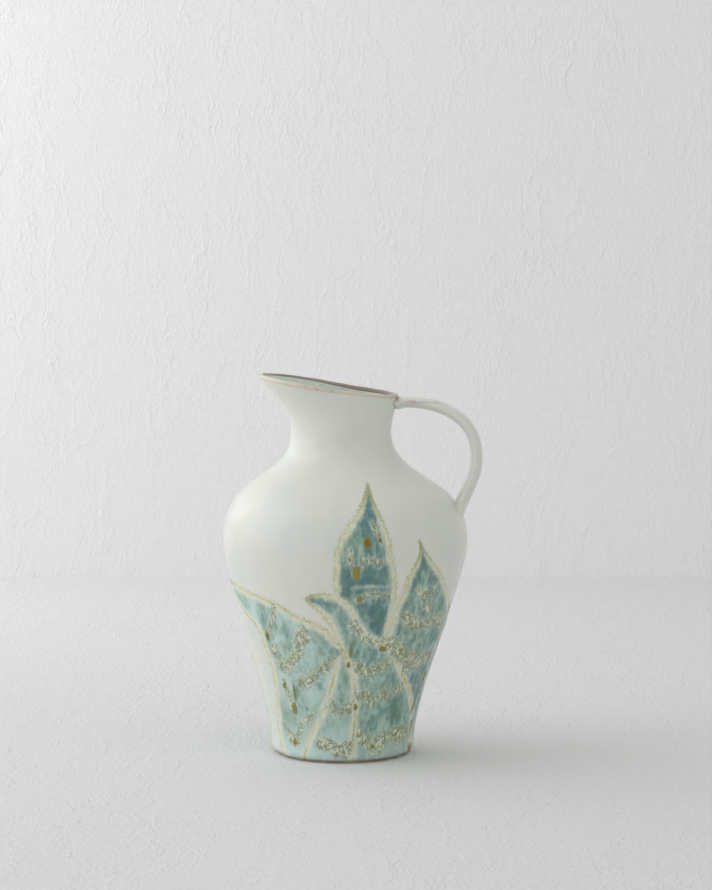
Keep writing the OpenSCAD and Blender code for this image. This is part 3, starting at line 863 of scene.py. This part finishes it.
def makeLeaves(finish):
    r, z, normalR, normalZ = outerLine()
    bearings = np.arange(leafLayer["low"], leafLayer["high"], leafLayer["columnStep"])
    turnGrid, heightGrid = np.meshgrid(bearings, z)
    radiusGrid = np.repeat(r[:, None], len(bearings), 1)
    normalRGrid, normalZGrid = np.repeat(normalR[:, None], len(bearings), 1), np.repeat(normalZ[:, None], len(bearings), 1)
    scale = radiusGrid * math.pi / 180
    depths = np.array([outlineDepth(turnGrid, heightGrid, scale, leafOutlines[name]) for name in leafOutlines])
    ordered = np.sort(depths, axis=0)
    depth, nextDepth = ordered[-1], ordered[-2]
    free = np.clip((-(nextDepth + np.maximum(depth, 0) * 0.9) - 1.0) / 4.0, 0, 1)
    band = np.full(turnGrid.shape, -2.0)
    for half, points in granuleBands:
        band = np.maximum(band, 1 - lineGap(turnGrid, heightGrid, scale, smoothed(points)) / half)
    tip = np.zeros(turnGrid.shape)
    for bearing, height, reach in leafTips:
        tip = np.maximum(tip, np.exp(-(np.hypot((turnGrid - bearing) * scale, heightGrid - height) / reach) ** 2))
    drop, rust = np.full(turnGrid.shape, -1.0), np.zeros(turnGrid.shape)
    for bearing, height, wide, tall, share in glazeDrops:
        level = 1 - np.hypot((turnGrid - bearing) * scale / wide, (heightGrid - height) / tall)
        rust = np.where(level > drop, share, rust)
        drop = np.maximum(drop, level)

    def eased(value, low, high):
        t = np.clip((value - low) / (high - low), 0, 1)
        return t * t * (3 - 2 * t)

    lift = (leafLayer["skin"] + leafLayer["height"] * eased(depth, -1.5, 3.0)
            + 0.22 * eased(band, 0, 0.6) * eased(depth, 1, 4) + 0.5 * eased(drop, 0, 0.5))
    owner = np.argmax(depths, axis=0)
    rows, columns = turnGrid.shape
    keepQuad = (depth[:-1, :-1] > -leafLayer["margin"]) & (depth[1:, 1:] > -leafLayer["margin"])
    quadOwner = owner[:-1, :-1]
    index = np.arange(rows * columns).reshape(rows, columns)
    quads = np.stack([index[:-1, :-1], index[:-1, 1:], index[1:, 1:], index[1:, :-1]], axis=-1)
    pieces = []
    for back in (False, True):
        turn = np.radians(turnGrid - 90 + (180 if back else 0))

        def spots(away):
            radius = radiusGrid + handRipple(turn, heightGrid) + normalRGrid * away
            height = heightGrid + normalZGrid * away
            x = radius * np.cos(turn) + handShift(heightGrid)
            y = np.clip(radius * np.sin(turn), -102.4, 102.4)
            return np.stack([x, y, height], axis=-1).reshape(-1, 3) * mm

        top, bottom = spots(lift), spots(np.full(turnGrid.shape, -leafLayer["sink"]))
        for place, name in enumerate(leafOutlines):
            faces = quads[keepQuad & (quadOwner == place)]
            used, packed = np.unique(faces, return_inverse=True)
            packed = packed.reshape(-1, 4)
            count = len(used)
            ends = np.stack([packed, np.roll(packed, -1, axis=1)], axis=-1).reshape(-1, 2)
            keys = np.sort(ends, axis=1)
            _, first, many = np.unique(keys, axis=0, return_index=True, return_counts=True)
            border = ends[first[many == 1]]
            sides = np.stack([border[:, 1], border[:, 0], border[:, 0] + count, border[:, 1] + count], axis=-1)
            allFaces = np.vstack([packed, packed[:, ::-1] + count, sides])
            points = np.vstack([top[used], bottom[used]])
            pieceName = ("back" + name[0].upper() + name[1:] if back else name) + "Glaze"
            data = bpy.data.meshes.new(pieceName)
            data.from_pydata(points.tolist(), [], allFaces.tolist())
            data.polygons.foreach_set("use_smooth", np.ones(len(allFaces), bool))
            ends = np.empty(len(data.edges) * 2, np.int32)
            data.edges.foreach_get("vertices", ends)
            onBorder = np.zeros(2 * count, bool)
            onBorder[border.ravel()] = True
            onBorder[border.ravel() + count] = True
            data.edges.foreach_set("use_edge_sharp", onBorder[ends.reshape(-1, 2)].all(1))
            double = np.concatenate([used, used])
            flat = [d.reshape(-1)[double] for d in depths]
            storeTriples(data, "leafNear", np.clip(np.stack(flat[:3], -1), -30, 30))
            storeTriples(data, "leafFar", np.stack([np.clip(flat[3], -30, 30), np.clip(flat[4], -30, 30),
                                                    free.reshape(-1)[double]], -1))
            storeTriples(data, "glazeMarks", np.stack([band.reshape(-1)[double], drop.reshape(-1)[double],
                                                       rust.reshape(-1)[double]], -1))
            storeNumbers(data, "leafTip", tip.reshape(-1)[double])
            storeNumbers(data, "leafPale", np.full(2 * count, leafPale[name]))
            data.materials.append(finish)
            piece = bpy.data.objects.new(pieceName, data)
            bpy.context.scene.collection.objects.link(piece)
            node = ("back_" if back else "") + leafNodes[name]
            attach(piece, "root")
            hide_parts(node)
            pieces.append(piece)
        print("leaves made:", "back" if back else "front", sum(len(q.data.polygons) for q in pieces), "faces")
    return pieces


vessel = makeVessel(makeVesselFinish())
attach(vessel, "root")
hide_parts("body", "neck_and_spout")

rim = makeRim(makeRimFinish())
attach(rim, "root")
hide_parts("rim_band")

ring = makeFootRing(makeClayFinish())
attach(ring, "root")
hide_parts("foot_ring")

grip = makeHandle(makeHandleFinish())
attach(grip, "root")
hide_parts("handle")

leaves = makeLeaves(makeLeafFinish())


stage = {"facing": 5.0, "wallAt": 1.09, "wide": 9.0, "high": 5.0, "front": -5.0}
plaster = {"slants": (0.55, 0.80, 1.05), "scales": (26.0, 38.0, 54.0), "fold": 0.30, "grain": 0.9}


def makePlaster(name, colour, axis, stretch, strength):
    # troweled plaster: fine slanting wrinkles that cross each other, and a fine grain
    finish, bench = newFinish(name)
    place = bench.node("ShaderNodeTexCoord", {}, {}, out="Object")
    warp = bench.noise(place, 11.0, 4.0, 0.6, out=1)
    bent = bench.node("ShaderNodeVectorMath", {"operation": "MULTIPLY_ADD"},
                      {0: warp, 1: (0.05, 0.05, 0.05), 2: place})
    height = bench.noise(place, 260.0, 4.0, 0.65) * plaster["grain"]
    for slant, scale in zip(plaster["slants"], plaster["scales"]):
        turned = bench.node("ShaderNodeMapping", {},
                            {"Vector": bent, "Rotation": tuple(slant * share for share in axis), "Scale": stretch})
        fold = abs(bench.noise(turned, scale, 3.0, 0.55) - 0.5)
        gate = bench.noise(turned, scale * 0.6, 2.0, 0.5).eased(0.40, 0.66)
        height = height + (1.0 - fold.eased(0.0, 0.045)) * gate * plaster["fold"]
    tint = bench.mixed(height.eased(0.2, 1.4) * 0.5, colour, tuple(c * 0.965 for c in colour[:3]) + (1.0,))
    bump = bench.node("ShaderNodeBump", {}, {"Strength": strength, "Distance": 0.0010, "Height": height})
    behind = bench.node("ShaderNodeNewGeometry", {}, {}, out="Backfacing")
    closeFinish(bench, {"Base Color": tint, "Roughness": 0.9, "Normal": bump,
                        "Alpha": 1.0 - behind})   # seen from behind, the sheet is clear
    return finish


def makeSheet(name, corners, finish):
    data = bpy.data.meshes.new(name)
    a = math.radians(stage["facing"])
    turned = [(x * math.cos(a) - y * math.sin(a), x * math.sin(a) + y * math.cos(a), z) for x, y, z in corners]
    data.from_pydata(turned, [], [(0, 1, 2, 3)])
    data.materials.append(finish)
    sheet = bpy.data.objects.new(name, data)
    bpy.context.scene.collection.objects.link(sheet)
    return sheet


wide, wallAt, high, front = stage["wide"] / 2, stage["wallAt"], stage["high"], stage["front"]
makeSheet("floor", [(-wide, front, 0), (wide, front, 0), (wide, wallAt, 0), (-wide, wallAt, 0)],
          makePlaster("floorPlaster", tone(227, 227, 226), (0, 0, -1), (1.0, 0.22, 1.0), 0.9))
makeSheet("backWall", [(-wide, wallAt, 0), (wide, wallAt, 0), (wide, wallAt, high), (-wide, wallAt, high)],
          makePlaster("wallPlaster", tone(241, 241, 240), (0, -1, 0), (1.0, 1.0, 0.3), 0.75))

windowTone = (0.93, 0.94, 1.0)             # a cool sky through a window
lights = [
    # name, size, place, aim, watts
    ("windowLight", (2.4, 2.4), (-2.05, -0.15, 1.25), (0.0, 0.1, 0.2), 24.5),
    ("wallWash", (1.2, 1.2), (-1.60, 0.72, 0.90), (-1.10, 1.32, 1.25), 11.0),
]


def aimed(item, place, target):
    away = Vector(place) - Vector(target)
    item.location = place
    item.rotation_euler = away.to_track_quat("Z", "Y").to_euler()


for name, size, place, target, watts in lights:
    lamp = bpy.data.lights.new(name, "AREA")
    lamp.shape = "RECTANGLE"
    lamp.size, lamp.size_y = size
    lamp.energy = watts
    lamp.color = windowTone
    item = bpy.data.objects.new(name, lamp)
    bpy.context.scene.collection.objects.link(item)
    aimed(item, place, target)

world = bpy.data.worlds.new("room")
world.use_nodes = True
air = Bench(world.node_tree)
glow = air.node("ShaderNodeBackground", {}, {"Color": (1.0, 1.0, 0.992, 1.0), "Strength": 0.67})
air.node("ShaderNodeOutputWorld", {}, {"Surface": glow})
bpy.context.scene.world = world

lens = bpy.data.cameras.new("camera")
lens.lens = 121.6
lens.sensor_width = 36.0
lens.clip_end = 50.0
camera = bpy.data.objects.new("camera", lens)
bpy.context.scene.collection.objects.link(camera)
camera.location = (0.2184, -2.4962, 0.4872)
camera.rotation_euler = (math.radians(84.8), 0.0, math.radians(4.737))
bpy.context.scene.camera = camera
bpy.context.scene.view_settings.view_transform = "Standard"
print("stage, lights and camera set")
